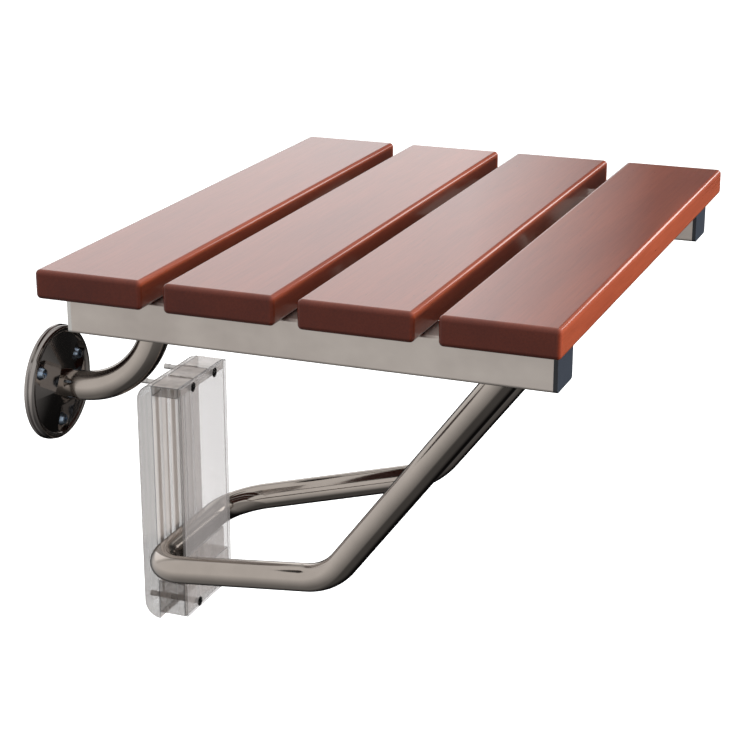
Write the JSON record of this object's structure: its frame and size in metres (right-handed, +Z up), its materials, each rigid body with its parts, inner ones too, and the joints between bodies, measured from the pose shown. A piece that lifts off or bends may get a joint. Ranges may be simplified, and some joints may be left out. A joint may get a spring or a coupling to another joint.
{
  "type": "fold down wall seat",
  "caption": "Slatted wooden seat on steel rails, hinged to wall elbows and held level by a bent tube leg whose crossbar slides in a clear guide on the wall.",
  "frame": {"origin": "on the wall plane, midway between the two flanges, at the height of their centres", "axes": "+Y into the wall, -Y out over the seat, +Z up, +X along the wall to the right of someone who faces it"},
  "size_m": [0.412, 0.356, 0.307],
  "materials": {
    "lacquered_wood": "glossy reddish brown lacquer",
    "satin_steel": "satin brushed",
    "polished_steel": "mirror polished",
    "dark_polished_steel": "mirror polished, dark reflections",
    "bright_steel": "plain bright",
    "zinc_screws": "bluish zinc",
    "black_screws": "black",
    "nylon": "natural nylon",
    "black_plastic": "black",
    "clear_plastic": "clear moulded",
    "clear_sheet": "clear sheet"
  },
  "bodies": {
    "wall_bracket": {"wall_flange_left": "dark_polished_steel", "wall_flange_right": "dark_polished_steel", "flange_screws": "zinc_screws", "hinge_elbow_left": "polished_steel", "hinge_elbow_right": "polished_steel", "hinge_bushes": "nylon", "guide_back_layer": "clear_plastic", "guide_top_block": "clear_plastic", "guide_bottom_block": "clear_plastic", "guide_cradle": "clear_plastic", "guide_front_sheet": "clear_sheet", "guide_screws": "black_screws"},
    "seat": {"slat_1": "lacquered_wood", "slat_2": "lacquered_wood", "slat_3": "lacquered_wood", "slat_4": "lacquered_wood", "side_rail_left": "satin_steel", "side_rail_right": "satin_steel", "rail_end_plates": "bright_steel", "rail_plugs": "black_plastic", "slat_screws": "zinc_screws", "hinge_studs": "bright_steel", "hinge_spacers": "nylon", "hinge_washers": "bright_steel", "hinge_nuts": "bright_steel", "leg_studs": "bright_steel", "leg_spacers": "nylon", "leg_washers": "bright_steel", "leg_nuts": "bright_steel"},
    "leg": {"leg_arm_left": "polished_steel", "leg_arm_right": "polished_steel", "leg_bushes": "nylon"},
    "crossbar": {"leg_crossbar": "polished_steel"}
  },
  "joints": [
    {"name": "seat_fold", "type": "hinge", "parent": "wall_bracket", "child": "seat", "pos_m": [0, -0.076, 0.063], "axis": [-1, 0, 0], "range_deg": [0, 84]},
    {"name": "leg_swing", "type": "hinge", "parent": "seat", "child": "leg", "pos_m": [0, -0.3175, 0.063], "axis": [-1, 0, 0], "range_deg": [-43.4, 0]},
    {"name": "crossbar_slide", "type": "slide", "parent": "wall_bracket", "child": "crossbar", "axis": [0, 0, 1], "range_m": [0, 0.1015]}
  ],
  "couplings": [
    {"joint": "leg_swing", "follows": "seat_fold", "ratio": -0.51606},
    {"joint": "crossbar_slide", "follows": "seat_fold", "m_per_rad": 0.06914}
  ]
}
